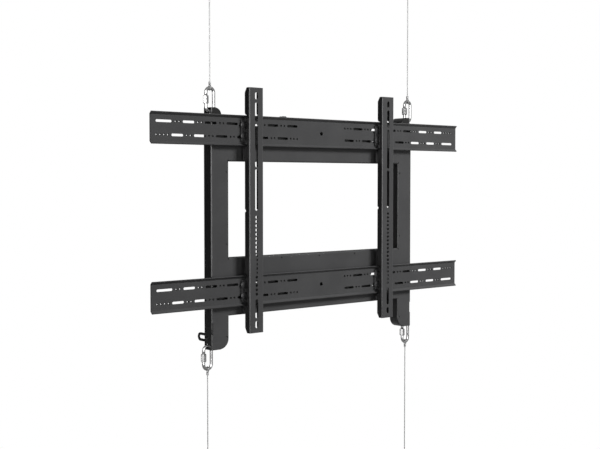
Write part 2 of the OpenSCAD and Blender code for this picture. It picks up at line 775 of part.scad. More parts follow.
function reversed(v) = [for (i = [len(v) - 1 : -1 : 0]) v[i]];
function upper_heights() = concat([upper_ferrule_end], upper_route, [upper_gripper_z]);
function lower_heights() = concat([lower_gripper_z], reversed(lower_route), [lower_ferrule_end]);

// Cable gripper under a ceiling plate, its stud up through the plate
module gripper(x, y, z, up) {
    color(steel) translate([x, y, z]) mirror([0, 0, up > 0 ? 0 : 1]) {
        rotate_extrude() polygon([[0, 0], [gripper_nose_d / 2, 0], [gripper_d / 2, gripper_nose],
            [gripper_d / 2, gripper_len], [0, gripper_len]]);
        translate([0, 0, gripper_len]) cylinder(h = plate_t, d = gripper_stud_d);
    }
}

module fixing_plate(x, y, z) {
    color(steel) translate([x, y, z]) linear_extrude(plate_t) difference() {
        rounded2d(plate_w, plate_len, plate_corner_r);
        circle(d = gripper_stud_d + 0.2);
        for (s = [-1, 1]) translate([0, s * plate_hole_spacing / 2]) circle(d = plate_hole_d);
    }
}

// The part's origin is the middle of the four ceiling screw holes
module place() {
    translate([0, -upper_rope_y, -ceiling_z]) children();
}

place() back_frame();
place() rail(rail_z);  // top_rail
place() rail(-rail_z);  // bottom_rail
place() rail_spacers(rail_z);  // top_rail_spacers
place() rail_spacers(-rail_z);  // bottom_rail_spacers
place() rail_studs(rail_z);  // top_rail_studs
place() rail_studs(-rail_z);  // bottom_rail_studs
place() rail_nuts(rail_z);  // top_rail_nuts
place() rail_nuts(-rail_z);  // bottom_rail_nuts
place() upright(-upright_x);  // left_upright
place() upright(upright_x);  // right_upright
place() lock_screws(-upright_x);  // left_lock_screws
place() lock_screws(upright_x);  // right_lock_screws
place() hanger();  // left_hanger
place() mirror([1, 0, 0]) hanger();  // right_hanger
place() hanger_rivets();  // left_hanger_rivets
place() mirror([1, 0, 0]) hanger_rivets();  // right_hanger_rivets
place() tie_lug();
place() tie_lug_rivet();
place() level_body();
place() level_vial();
place() quick_link(-upper_rope_x, upper_rope_y, upper_link_mid);  // upper_left_link
place() quick_link(upper_rope_x, upper_rope_y, upper_link_mid);  // upper_right_link
place() quick_link(-lower_rope_x, lower_rope_y, lower_link_mid);  // lower_left_link
place() quick_link(lower_rope_x, lower_rope_y, lower_link_mid);  // lower_right_link
place() sleeve(-upper_rope_x, upper_rope_y, upper_link_mid);  // upper_left_sleeve
place() sleeve(upper_rope_x, upper_rope_y, upper_link_mid);  // upper_right_sleeve
place() sleeve(-lower_rope_x, lower_rope_y, lower_link_mid);  // lower_left_sleeve
place() sleeve(lower_rope_x, lower_rope_y, lower_link_mid);  // lower_right_sleeve
place() eye(-upper_rope_x, upper_rope_y, upper_link_mid, 1);  // upper_left_eye
place() eye(upper_rope_x, upper_rope_y, upper_link_mid, 1);  // upper_right_eye
place() eye(-lower_rope_x, lower_rope_y, lower_link_mid, -1);  // lower_left_eye
place() eye(lower_rope_x, lower_rope_y, lower_link_mid, -1);  // lower_right_eye
place() ferrule(-upper_rope_x, upper_rope_y, upper_link_mid, 1);  // upper_left_ferrule
place() ferrule(upper_rope_x, upper_rope_y, upper_link_mid, 1);  // upper_right_ferrule
place() ferrule(-lower_rope_x, lower_rope_y, lower_link_mid, -1);  // lower_left_ferrule
place() ferrule(lower_rope_x, lower_rope_y, lower_link_mid, -1);  // lower_right_ferrule
place() rope(-upper_rope_x, upper_rope_y, upper_heights());  // upper_left_rope
place() rope(upper_rope_x, upper_rope_y, upper_heights());  // upper_right_rope
place() rope(-lower_rope_x, lower_rope_y, lower_heights());  // lower_left_rope
place() rope(lower_rope_x, lower_rope_y, lower_heights());  // lower_right_rope
place() gripper(-upper_rope_x, upper_rope_y, upper_gripper_z, 1);  // upper_left_gripper
place() gripper(upper_rope_x, upper_rope_y, upper_gripper_z, 1);  // upper_right_gripper
place() gripper(-lower_rope_x, lower_rope_y, lower_gripper_z, -1);  // lower_left_gripper
place() gripper(lower_rope_x, lower_rope_y, lower_gripper_z, -1);  // lower_right_gripper
place() fixing_plate(-upper_rope_x, upper_rope_y, ceiling_z - plate_t);  // left_ceiling_plate
place() fixing_plate(upper_rope_x, upper_rope_y, ceiling_z - plate_t);  // right_ceiling_plate
place() fixing_plate(-lower_rope_x, lower_rope_y, -floor_z);  // left_floor_plate
place() fixing_plate(lower_rope_x, lower_rope_y, -floor_z);  // right_floor_plate
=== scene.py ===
"""Looks of a television mount that hangs on wire ropes between ceiling and floor.

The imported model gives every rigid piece. This script adds the studio, the laid wire ropes with their eyes
and ferrules, the threaded quick links and studs, and the finish of every surface. All lengths are in metres.
"""

import json
import logging
import math
from dataclasses import dataclass, field
from enum import Enum
from typing import Any, Dict, Iterable, List, Optional, Sequence, Tuple, Union

import bpy
import numpy as np
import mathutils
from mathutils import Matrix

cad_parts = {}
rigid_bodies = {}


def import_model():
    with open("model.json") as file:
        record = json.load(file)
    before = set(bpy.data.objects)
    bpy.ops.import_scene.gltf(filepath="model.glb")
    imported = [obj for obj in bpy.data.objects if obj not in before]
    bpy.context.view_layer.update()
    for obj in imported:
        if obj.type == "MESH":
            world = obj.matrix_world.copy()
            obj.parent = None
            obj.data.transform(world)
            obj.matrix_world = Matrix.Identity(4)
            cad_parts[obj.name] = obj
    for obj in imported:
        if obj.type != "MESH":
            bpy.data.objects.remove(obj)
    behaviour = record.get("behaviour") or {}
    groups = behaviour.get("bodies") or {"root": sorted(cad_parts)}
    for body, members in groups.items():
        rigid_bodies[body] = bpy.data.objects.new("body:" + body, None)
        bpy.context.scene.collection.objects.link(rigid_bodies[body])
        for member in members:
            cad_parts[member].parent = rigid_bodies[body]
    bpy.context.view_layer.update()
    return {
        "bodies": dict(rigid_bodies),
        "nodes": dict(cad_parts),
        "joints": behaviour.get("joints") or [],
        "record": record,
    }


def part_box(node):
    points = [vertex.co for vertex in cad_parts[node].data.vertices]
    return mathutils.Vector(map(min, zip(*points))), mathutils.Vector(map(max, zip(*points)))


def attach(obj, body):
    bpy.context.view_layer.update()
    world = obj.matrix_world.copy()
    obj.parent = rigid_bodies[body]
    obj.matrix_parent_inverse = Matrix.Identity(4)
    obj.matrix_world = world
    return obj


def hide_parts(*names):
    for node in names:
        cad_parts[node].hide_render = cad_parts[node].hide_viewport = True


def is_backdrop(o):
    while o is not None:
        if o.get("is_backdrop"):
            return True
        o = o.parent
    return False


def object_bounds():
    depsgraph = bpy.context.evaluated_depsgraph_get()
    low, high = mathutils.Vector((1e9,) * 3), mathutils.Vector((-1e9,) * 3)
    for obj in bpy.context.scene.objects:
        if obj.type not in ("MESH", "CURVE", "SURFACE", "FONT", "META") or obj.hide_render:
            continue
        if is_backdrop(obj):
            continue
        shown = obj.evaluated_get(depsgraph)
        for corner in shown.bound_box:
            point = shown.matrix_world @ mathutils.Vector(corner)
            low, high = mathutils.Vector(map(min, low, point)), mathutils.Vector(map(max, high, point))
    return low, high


LOG = logging.getLogger("tv_mount")

MM = 0.001
FULL_TURN = 2.0 * math.pi

Vector = Tuple[float, float, float]
Colour = Tuple[float, float, float]
Span = Tuple[float, float]
Value = Union[float, "Wire"]
Sockets = Dict[Union[int, str], Any]

WHITE = (1.0, 1.0, 1.0, 1.0)
X_AXIS = np.array([1.0, 0.0, 0.0])
Y_AXIS = np.array([0.0, 1.0, 0.0])

# The Mix node's two colour inputs and its mixed colour, by socket number
MIX_FIRST = 6
MIX_SECOND = 7
MIX_RESULT = 2


class Side(Enum):
    """Left and right of the mount as the viewer in front of it sees them."""

    LEFT = "left"
    RIGHT = "right"


class Level(Enum):
    """Upper ropes run to the ceiling, lower ropes to the floor. The value is the way that a rope leaves."""

    UPPER = 1.0
    LOWER = -1.0

    def node(self, side: Side, piece: str) -> str:
        """Name of a suspension piece of this level and side."""
        return f"{self.name.lower()}_{side.value}_{piece}"


# Heights of the points that each rope follows, from its ferrule to its gripper, as in the part's source
ROPE_HEIGHTS = {
    Level.UPPER: (-0.2502, -0.238, -0.224, -0.210, -0.196, -0.182, -0.168, -0.154, -0.140, -0.126,
                  -0.112, -0.098, -0.084, -0.070, -0.056, -0.042, -0.032, -0.023),
    Level.LOWER: (-0.8198, -0.834, -0.850, -0.866, -0.882, -0.898, -0.914, -0.930, -0.946, -0.962,
                  -0.978, -0.994, -1.010, -1.026, -1.042, -1.052, -1.060, -1.067),
}


# Shader maths


class Wire:
    """A shader socket that takes part in ordinary arithmetic, each step adding one Math node."""

    def __init__(self, tree: "Finish", socket: bpy.types.NodeSocket) -> None:
        """Wraps a socket.

        Args:
            tree: the finish whose nodes the arithmetic joins.
            socket: the output socket.
        """
        self.tree = tree
        self.socket = socket

    def _math(self, operation: str, *values: Value) -> "Wire":
        """Adds one Math node.

        Args:
            operation: the Math node's operation.
            values: its inputs in order.

        Returns:
            The node's result.
        """
        return self.tree.wire("ShaderNodeMath", {"operation": operation}, dict(enumerate(values)))

    def __add__(self, other: Value) -> "Wire":
        """Sum."""
        return self._math("ADD", self, other)

    __radd__ = __add__

    def __sub__(self, other: Value) -> "Wire":
        """Difference."""
        return self._math("SUBTRACT", self, other)

    def __rsub__(self, other: Value) -> "Wire":
        """Difference from a number."""
        return self._math("SUBTRACT", other, self)

    def __mul__(self, other: Value) -> "Wire":
        """Product."""
        return self._math("MULTIPLY", self, other)

    __rmul__ = __mul__

    def __truediv__(self, other: Value) -> "Wire":
        """Quotient."""
        return self._math("DIVIDE", self, other)

    def __rtruediv__(self, other: Value) -> "Wire":
        """Quotient of a number."""
        return self._math("DIVIDE", other, self)

    def __abs__(self) -> "Wire":
        """Absolute value."""
        return self._math("ABSOLUTE", self)

    def below(self, limit: float) -> "Wire":
        """One where the value is under a limit, else zero."""
        return self._math("LESS_THAN", self, limit)

    def ramp(self, low: float, high: float) -> "Wire":
        """Smooth step from zero to one, held outside its limits.

        Args:
            low: the value that gives zero.
            high: the value that gives one.

        Returns:
            The step.
        """
        settings = {"clamp": True, "interpolation_type": "SMOOTHSTEP"}
        inputs = {"Value": self, "From Min": low, "From Max": high}
        return self.tree.wire("ShaderNodeMapRange", settings, inputs)


class Finish:
    """Nodes of one material or of the world, with the few that all finishes share."""

    def __init__(self, owner: Union[bpy.types.Material, bpy.types.World]) -> None:
        """Empties the owner's node tree.

        Args:
            owner: the material or world that the nodes belong to.
        """
        self.owner = owner
        owner.use_nodes = True
        owner.node_tree.nodes.clear()

    def add(self, kind: str, settings: Optional[Dict[str, Any]] = None,
            inputs: Optional[Sockets] = None) -> bpy.types.Node:
        """Adds a node of any kind.

        Args:
            kind: Blender's name of the node type.
            settings: the node's own properties.
            inputs: values or wires by socket name or number.

        Returns:
            The node.
        """
        made = self.owner.node_tree.nodes.new(kind)
        for key, value in (settings or {}).items():
            setattr(made, key, value)
        for key, value in (inputs or {}).items():
            if isinstance(value, Wire):
                self.owner.node_tree.links.new(value.socket, made.inputs[key])
            else:
                made.inputs[key].default_value = value
        return made

    def wire(self, kind: str, settings: Optional[Dict[str, Any]] = None, inputs: Optional[Sockets] = None,
             output: Union[int, str] = 0) -> Wire:
        """Adds a node and hands back one of its outputs.

        Args:
            kind: Blender's name of the node type.
            settings: the node's own properties.
            inputs: values or wires by socket name or number.
            output: the output's name or number.

        Returns:
            A wire from the output.
        """
        return Wire(self, self.add(kind, settings, inputs).outputs[output])

    def place(self, scale: Vector = (1.0, 1.0, 1.0), centre: Vector = (0.0, 0.0, 0.0)) -> Wire:
        """Object coordinates, moved to a centre and stretched.

        Args:
            scale: factors along X, Y and Z.
            centre: the point that becomes zero.

        Returns:
            The coordinates.
        """
        where = self.wire("ShaderNodeTexCoord", output="Object")
        shift = tuple(-c * s for c, s in zip(centre, scale))
        return self.wire("ShaderNodeMapping", inputs={"Vector": where, "Location": shift, "Scale": scale})

    def axes(self, vector: Wire) -> List[Wire]:
        """The three parts of a vector."""
        return [Wire(self, part) for part in self.add("ShaderNodeSeparateXYZ", inputs={0: vector}).outputs]

    def noise(self, vector: Wire, scale: float, detail: float = 3.0, roughness: float = 0.5) -> Wire:
        """Soft noise between about 0.3 and 0.7.

        Args:
            vector: where the noise is read.
            scale: lumps per metre.
            detail: octaves.
            roughness: strength of the fine octaves.

        Returns:
            The noise value.
        """
        inputs = {"Vector": vector, "Scale": scale, "Detail": detail, "Roughness": roughness}
        return self.wire("ShaderNodeTexNoise", inputs=inputs)

    def blend(self, factor: Value, first: Union[Wire, Colour], second: Union[Wire, Colour]) -> Wire:
        """Mixes two colours.

        Args:
            factor: share of the second colour.
            first: a colour or its wire.
            second: a colour or its wire.

        Returns:
            The mixed colour.
        """
        pair = [c if isinstance(c, Wire) else (*c, 1.0) for c in (first, second)]
        inputs = {"Factor": factor, MIX_FIRST: pair[0], MIX_SECOND: pair[1]}
        return self.wire("ShaderNodeMix", {"data_type": "RGBA"}, inputs, MIX_RESULT)

    def relief(self, height: Wire, depth: float, edge: float) -> Wire:
        """Normal of a small relief, on edges that are softened by a tiny radius.

        Args:
            height: relief from 0 to 1.
            depth: height of the relief.
            edge: radius that softens the edges.

        Returns:
            The normal.
        """
        soft = self.wire("ShaderNodeBevel", {"samples": 4}, {"Radius": edge})
        inputs = {"Height": height, "Distance": depth, "Strength": 1.0, "Normal": soft}
        return self.wire("ShaderNodeBump", inputs=inputs)

    def shell(self, varying: Dict[str, Wire], fixed: Dict[str, Any]) -> bpy.types.Material:
        """Ends the nodes in one Principled shader.

        Args:
            varying: sockets that change over the surface.
            fixed: sockets that hold one value.

        Returns:
            The finished material.
        """
        return self.end(self.wire("ShaderNodeBsdfPrincipled", inputs={**varying, **fixed}))

    def end(self, shader: Wire) -> Union[bpy.types.Material, bpy.types.World]:
        """Joins a shader to the output.

        Args:
            shader: the last shader.

        Returns:
            The material or world.
        """
        target = "World" if isinstance(self.owner, bpy.types.World) else "Material"
        self.add(f"ShaderNodeOutput{target}", inputs={"Surface": shader})
        return self.owner


def new_finish(name: str) -> Finish:
    """Starts the nodes of a new material with this name."""
    return Finish(bpy.data.materials.new(name))


def white_rays(tree: Finish, mirror_share: float) -> Wire:
    """Share of white that each kind of ray meets in the background.

    Args:
        tree: the finish to add to.
        mirror_share: white that reflections meet.

    Returns:
        One for camera and transmission rays, the mirror share for glossy rays, else zero.
    """
    rays = tree.add("ShaderNodeLightPath").outputs
    kinds = ("Camera", "Transmission", "Glossy")
    camera, clear, glossy = (Wire(tree, rays[f"Is {kind} Ray"]) for kind in kinds)
    return camera + clear + glossy * mirror_share


# Finishes


@dataclass(frozen=True)
class PowderCoat:
    """Black powder coat: a fine orange-peel skin with faint clouds and specks."""

    name: str = "satin_powder_coat"
    tint: Colour = (0.046, 0.046, 0.047)
    cloud: Colour = (0.056, 0.056, 0.057)
    roughness: float = 0.36
    gloss: float = 0.12
    top_layer: float = 0.6
    top_roughness: float = 0.25
    clouds_per_metre: float = 14.0
    cloud_span: Span = (0.35, 0.68)
    cloud_share: float = 0.6
    cloud_roughness: float = 0.06
    specks_per_metre: float = 2600.0
    speck_span: Span = (0.55, 0.75)
    speck_share: float = 0.25
    peel_per_metre: float = 900.0
    peel_roughness: float = 0.08
    peel_depth: float = 0.02 * MM
    edge: float = 0.5 * MM

    def material(self) -> bpy.types.Material:
        """Builds the coat's material."""
        tree = new_finish(self.name)
        where = tree.place()
        clouds = tree.noise(where, self.clouds_per_metre, detail=4.0, roughness=0.6).ramp(*self.cloud_span)
        specks = tree.noise(where, self.specks_per_metre, detail=2.0).ramp(*self.speck_span)
        peel = tree.noise(where, self.peel_per_metre, detail=2.0)
        share = clouds * self.cloud_share + specks * self.speck_share
        least = self.roughness - self.cloud_roughness
        varying = {
            "Base Color": tree.blend(share, self.tint, self.cloud),
            "Roughness": clouds * self.cloud_roughness + peel * self.peel_roughness + least,
            "Normal": tree.relief(peel, self.peel_depth, self.edge),
        }
        fixed = {"Specular IOR Level": self.gloss, "Coat Weight": self.top_layer,
                 "Coat Roughness": self.top_roughness}
        return tree.shell(varying, fixed)


@dataclass(frozen=True)
class Metal:
    """Bare metal with fine lengthwise scratches and slow clouds."""

    name: str
    tint: Colour
    shade: Colour
    roughness: float
    grain: Vector = (900.0, 900.0, 60.0)
    scratch_share: float = 0.4
    scratch_roughness: float = 0.1
    scratch_depth: float = 0.004 * MM
    clouds_per_metre: float = 120.0
    cloud_span: Span = (0.35, 0.7)
    cloud_share: float = 0.5
    cloud_roughness: float = 0.08
    edge: float = 0.25 * MM

    def material(self) -> bpy.types.Material:
        """Builds the metal's material."""
        tree = new_finish(self.name)
        scratches = tree.noise(tree.place(self.grain), 1.0, roughness=0.6)
        clouds = tree.noise(tree.place(), self.clouds_per_metre).ramp(*self.cloud_span)
        share = clouds * self.cloud_share + scratches * self.scratch_share
        least = self.roughness - self.cloud_roughness
        varying = {
            "Base Color": tree.blend(share, self.tint, self.shade),
            "Roughness": clouds * self.cloud_roughness + scratches * self.scratch_roughness + least,
            "Normal": tree.relief(scratches, self.scratch_depth, self.edge),
        }
        return tree.shell(varying, {"Metallic": 1.0})


@dataclass(frozen=True)
class MouldedPlastic:
    """Dark moulded plastic with a fine spark texture."""

    name: str = "moulded_plastic"
    tint: Colour = (0.07, 0.072, 0.075)
    lift: float = 1.35
    roughness: float = 0.4
    sparks_per_metre: float = 3000.0
    spark_span: Span = (0.4, 0.7)
    spark_roughness: float = 0.12
    spark_depth: float = 0.03 * MM
    edge: float = 0.3 * MM

    def material(self) -> bpy.types.Material:
        """Builds the plastic's material."""
        tree = new_finish(self.name)
        spark = tree.noise(tree.place(), self.sparks_per_metre, roughness=0.7)
        lighter = tuple(c * self.lift for c in self.tint)
        varying = {
            "Base Color": tree.blend(spark.ramp(*self.spark_span), self.tint, lighter),
            "Roughness": spark * self.spark_roughness + (self.roughness - self.spark_roughness / 2.0),
            "Normal": tree.relief(spark, self.spark_depth, self.edge),
        }
        return tree.shell(varying, {})


@dataclass(frozen=True)
class VialLiquid:
    """Tinted liquid in a clear tube, with a bubble between two dark lines."""

    name: str = "vial_liquid"
    tint: Colour = (0.42, 0.62, 0.08)
    bubble: Colour = (0.75, 0.88, 0.45)
    line: Colour = (0.02, 0.02, 0.02)
    half_gap: float = 2.3 * MM
    line_width: float = 0.5 * MM
    bubble_half_length: float = 1.9 * MM
    bubble_half_width: float = 1.3 * MM
    swirls_per_metre: float = 500.0
    roughness: float = 0.06
    swirl_roughness: float = 0.06
    clear_layer: float = 0.6

    def material(self, centre: Vector) -> bpy.types.Material:
        """Builds the liquid's material.

        The bubble is an ellipse on the vial's upper half, seen from above. Each line is where the distance
        from the middle is within half a line's width of half the gap.

        Args:
            centre: middle of the vial.

        Returns:
            The material.
        """
        tree = new_finish(self.name)
        along, across, height = tree.axes(tree.place(centre=centre))
        lines = abs(abs(along) - self.half_gap).below(self.line_width / 2.0)
        length = along / self.bubble_half_length
        width = across / self.bubble_half_width
        bubble = (length * length + width * width).below(1.0) * (1.0 - height.below(0.0))
        tinted = tree.blend(bubble, self.tint, self.bubble)
        swirl = tree.noise(tree.place(), self.swirls_per_metre, detail=2.0)
        varying = {
            "Base Color": tree.blend(lines, tinted, self.line),
            "Roughness": swirl * self.swirl_roughness + self.roughness,
        }
        return tree.shell(varying, {"Coat Weight": self.clear_layer})


@dataclass(frozen=True)
class StudioFloor:
    """Pale floor that the camera sees as white, save for a soft shadow round the floor plates."""

    name: str = "studio_floor"
    tint: Colour = (0.16, 0.16, 0.16)
    shadow_middle: Vector = (-0.05, -0.17, 0.0)
    shadow_reach: float = 0.44
    fade_start: float = 0.1
    shadow_share: float = 0.5
    mirror_share: float = 0.1

    def material(self) -> bpy.types.Material:
        """Builds the floor's material.

        The floor's own shading shows through the white by the shadow share, which fades with the square of
        the distance from the shadow's middle.

        Returns:
            The material.
        """
        tree = new_finish(self.name)
        x, y, _ = tree.axes(tree.place(centre=self.shadow_middle))
        edge = self.shadow_reach ** 2
        near = 1.0 - (x * x + y * y).ramp(self.fade_start * edge, edge)
        diffuse = tree.wire("ShaderNodeBsdfDiffuse", inputs={"Color": (*self.tint, 1.0)})
        white = tree.wire("ShaderNodeEmission", inputs={"Color": WHITE, "Strength": 1.0})
        share = white_rays(tree, self.mirror_share) * (1.0 - near * self.shadow_share)
        return tree.end(tree.wire("ShaderNodeMixShader", inputs={0: share, 1: diffuse, 2: white}))


@dataclass(frozen=True)
class BlackCard:
    """Matt black card with a faint nap."""

    name: str = "black_card"
    tint: Colour = (0.01, 0.01, 0.01)
    nap: Colour = (0.016, 0.016, 0.016)
    naps_per_metre: float = 40.0
    nap_span: Span = (0.3, 0.7)

    def material(self) -> bpy.types.Material:
        """Builds the card's material."""
        tree = new_finish(self.name)
        nap = tree.noise(tree.place(), self.naps_per_metre).ramp(*self.nap_span)
        return tree.shell({"Base Color": tree.blend(nap, self.tint, self.nap)}, {"Roughness": 1.0})


SATIN_COAT = PowderCoat()
# Darker copy of the satin coat for the hangers behind the top rail: its near-black tint is painted shade.
HANGER_SHADE_COAT = PowderCoat("matt_powder_coat", tint=(0.012, 0.012, 0.012), cloud=(0.016, 0.016, 0.016),
                       roughness=0.5)
ROPE_STEEL = Metal("rope_steel", tint=(0.4, 0.4, 0.4), shade=(0.31, 0.31, 0.31), roughness=0.42,
                   grain=(700.0, 700.0, 700.0))
POLISHED_STAINLESS = Metal("polished_stainless", tint=(0.54, 0.54, 0.54), shade=(0.46, 0.46, 0.46),
                           roughness=0.22, scratch_depth=0.0008 * MM, edge=1.2 * MM)
PRESSED_FERRULE = Metal("pressed_ferrule", tint=(0.46, 0.46, 0.46), shade=(0.38, 0.38, 0.38), roughness=0.34)
DARK_ZINC = Metal("dark_zinc", tint=(0.16, 0.16, 0.17), shade=(0.1, 0.1, 0.11), roughness=0.42)


# Surfaces


def mesh_object(name: str, grids: Iterable[np.ndarray]) -> bpy.types.Object:
    """Makes one smooth mesh from grids of points whose rings are closed.

    A grid holds rings of points. Neighbouring rings are joined by four-sided faces, first by row and then by
    place in the row; the last point of a ring joins its first. Each grid gets one flat face at each end.

    Args:
        name: the object's name.
        grids: grids (rings, points, 3).

    Returns:
        The linked object, at the origin.
    """
    points: List[np.ndarray] = []
    loops: List[np.ndarray] = []
    sizes: List[np.ndarray] = []
    start = 0
    for grid in grids:
        rings, around = grid.shape[:2]
        index = start + np.arange(rings * around).reshape(rings, around)
        after = np.roll(index, -1, axis=1)
        quads = np.stack([index[:-1], after[:-1], after[1:], index[1:]], axis=-1).reshape(-1, 4)
        loops.extend([quads.ravel(), index[0, ::-1], index[-1]])
        sizes.extend([np.full(len(quads), 4), np.array([around, around])])
        points.append(grid.reshape(-1, 3))
        start += rings * around
    corners = np.concatenate(loops)
    counts = np.concatenate(sizes)
    mesh = bpy.data.meshes.new(name)
    mesh.vertices.add(start)
    mesh.vertices.foreach_set("co", np.concatenate(points).astype(np.float32).ravel())
    mesh.loops.add(len(corners))
    mesh.loops.foreach_set("vertex_index", corners.astype(np.int32))
    mesh.polygons.add(len(counts))
    mesh.polygons.foreach_set("loop_start", np.concatenate([[0], np.cumsum(counts)[:-1]]).astype(np.int32))
    mesh.polygons.foreach_set("use_smooth", (counts == 4))
    mesh.update(calc_edges=True)
    mesh.validate()
    made = bpy.data.objects.new(name, mesh)
    bpy.context.scene.collection.objects.link(made)
    return made


def tube(path: np.ndarray, normal: np.ndarray, radii: np.ndarray) -> np.ndarray:
    """Rings of points round a path that lies in one plane.

    Each point is the path's point, plus the radius times (cosine of the angle times the plane's normal, plus
    sine of the angle times the direction across the path in its plane).

    Args:
        path: points along the middle, (rings, 3).
        normal: unit normal of the path's plane.
        radii: radius at each ring and angle, (rings, points).

    Returns:
        The grid (rings, points, 3).
    """
    along = np.gradient(path, axis=0)
    along /= np.linalg.norm(along, axis=1, keepdims=True)
    across = np.cross(along, normal)
    angle = turn(radii.shape[1])
    spoke = np.cos(angle)[None, :, None] * normal + np.sin(angle)[None, :, None] * across[:, None, :]
    return path[:, None, :] + radii[..., None] * spoke


def turn(points: int) -> np.ndarray:
    """Angles of evenly spaced points round a full turn."""
    return np.linspace(0.0, FULL_TURN, points, endpoint=False)


def distance_along(path: np.ndarray) -> np.ndarray:
    """Length from the first point of a path to each of its points."""
    steps = np.linalg.norm(np.diff(path, axis=0), axis=1)
    return np.concatenate([[0.0], np.cumsum(steps)])


def resample(path: np.ndarray, step: float) -> np.ndarray:
    """Points at even distances along a path.

    Args:
        path: points joined by straight lines.
        step: about the distance between new points.

    Returns:
        The new points, ends kept.
    """
    length = distance_along(path)
    new = np.linspace(0.0, length[-1], max(2, int(round(length[-1] / step)) + 1))
    return np.stack([np.interp(new, length, path[:, i]) for i in range(3)], axis=1)


@dataclass(frozen=True)
class Thread:
    """Screw thread with a triangular profile."""

    pitch: float
    depth: float

    def radii(self, length: np.ndarray, angle: np.ndarray, major: float) -> np.ndarray:
        """Radius at each place and angle.

        The depth under the major radius is a triangle wave of the distance along the screw in pitches, less
        the share of a turn.

        Args:
            length: distance along the screw.
            angle: angles round it.
            major: largest radius.

        Returns:
            Radii (places, angles).
        """
        phase = length[:, None] / self.pitch - angle[None, :] / FULL_TURN
        wave = np.abs(2.0 * (phase - np.floor(phase)) - 1.0)
        return major - self.depth * wave


@dataclass(frozen=True)
class RopeLay:
    """How a wire rope is laid up."""

    diameter: float = 2.0 * MM
    strands: int = 6
    lay_length: float = 13.0 * MM
    groove: float = 0.2
    step: float = 0.45 * MM
    points: int = 36

    def radii(self, length: np.ndarray) -> np.ndarray:
        """Radius of the laid strands at each place and angle.

        The section has one lobe for each strand, the absolute cosine of half the strand count times the
        angle, and the lobes turn once round the rope in one lay length.

        Args:
            length: distance along the rope.

        Returns:
            Radii (places, angles).
        """
        turned = turn(self.points)[None, :] - FULL_TURN * length[:, None] / self.lay_length
        lobe = np.abs(np.cos(self.strands * turned / 2.0))
        return self.diameter / 2.0 * (1.0 - self.groove * (1.0 - lobe))

    def surface(self, path: np.ndarray) -> np.ndarray:
        """Grid of a rope laid along a path.

        Args:
            path: points of the rope's middle, in a plane square to X.

        Returns:
            The grid of points.
        """
        fine = resample(path, self.step)
        return tube(fine, X_AXIS, self.radii(distance_along(fine)))


@dataclass(frozen=True)
class FerruleForm:
    """Oval sleeve with two pressed bands. Places and widths are shares of its half length."""

    rings: int = 41
    points: int = 40
    oval_power: float = 0.8
    band_place: float = 0.42
    band_width: float = 0.16
    band_depth: float = 0.09
    end_place: float = 0.86
    end_depth: float = 0.12

    def surface(self, low: np.ndarray, high: np.ndarray) -> np.ndarray:
        """Grid that fills a box.

        Each ring is a rounded oval, a power of cosine and sine, that loses a bell-shaped share of its size at
        the two bands and a square-law share at both ends.

        Args:
            low: the box's lowest corner.
            high: its highest corner.

        Returns:
            The grid of points.
        """
        centre = (low + high) / 2.0
        half = (high - low) / 2.0
        share = np.linspace(-1.0, 1.0, self.rings)
        angle = turn(self.points)
        band = np.exp(-((np.abs(share) - self.band_place) / self.band_width) ** 2)
        end = np.clip((np.abs(share) - self.end_place) / (1.0 - self.end_place), 0.0, 1.0) ** 2
        size = 1.0 - self.band_depth * band - self.end_depth * end
        oval_x = np.sign(np.cos(angle)) * np.abs(np.cos(angle)) ** self.oval_power * half[0]
        oval_y = np.sign(np.sin(angle)) * np.abs(np.sin(angle)) ** self.oval_power * half[1]
        grid = np.empty((self.rings, self.points, 3))
        grid[..., 0] = centre[0] + size[:, None] * oval_x[None, :]
        grid[..., 1] = centre[1] + size[:, None] * oval_y[None, :]
        grid[..., 2] = centre[2] + share[:, None] * half[2]
        return grid


@dataclass(frozen=True)
class LinkForm:
    """Quick link bent from one rod, threaded where the sleeve covers its gap."""

    sleeve_travel: float = 5.9 * MM
    gap: float = 4.4 * MM
    thread: Thread = Thread(pitch=1.0 * MM, depth=0.35 * MM)
    ring_step: float = 0.16 * MM
    bend_rings: int = 40
    strand_rings: int = 12
    points: int = 32

    def surface(self, low: np.ndarray, high: np.ndarray, reach: float) -> np.ndarray:
        """Grid of the bent rod inside a box.

        The path is an oval: straight strands joined by half circles. It starts at the gap's lower end, goes
        down, round the bottom, up the other strand and round the top to the gap's upper end.

        Args:
            low: the box's lowest corner.
            high: its highest corner.
            reach: half of the threaded length.

        Returns:
            The grid of points.
        """
        centre = (low + high) / 2.0
        rod = (high[1] - low[1]) / 2.0
        bow = (high[0] - low[0]) / 2.0 - rod
        straight = (high[2] - low[2]) / 2.0 - rod - bow
        gap_low = reach - self.sleeve_travel
        gap_high = gap_low + self.gap
        down = np.linspace(gap_low, -reach, int((gap_low + reach) / self.ring_step))
        half_turn = np.linspace(0.0, math.pi, self.bend_rings)
        rest = np.linspace(-straight, straight, self.strand_rings)[1:-1]
        up_again = np.linspace(reach, gap_high, int((reach - gap_high) / self.ring_step))
        flat = np.concatenate([
            np.stack([np.full(len(down), -bow), down], axis=1),
            np.stack([-bow * np.cos(half_turn), -straight - bow * np.sin(half_turn)], axis=1),
            np.stack([np.full(len(rest), bow), rest], axis=1),
            np.stack([bow * np.cos(half_turn), straight + bow * np.sin(half_turn)], axis=1),
            np.stack([np.full(len(up_again), -bow), up_again], axis=1),
        ])
        path = np.full((len(flat), 3), centre[1])
        path[:, 0] = centre[0] + flat[:, 0]
        path[:, 2] = centre[2] + flat[:, 1]
        length = distance_along(path)
        threaded = (length < length[len(down) - 1]) | (length > length[-len(up_again)])
        screw = self.thread.radii(length, turn(self.points), rod)
        return tube(path, Y_AXIS, np.where(threaded[:, None], screw, rod))


# Sub-assemblies


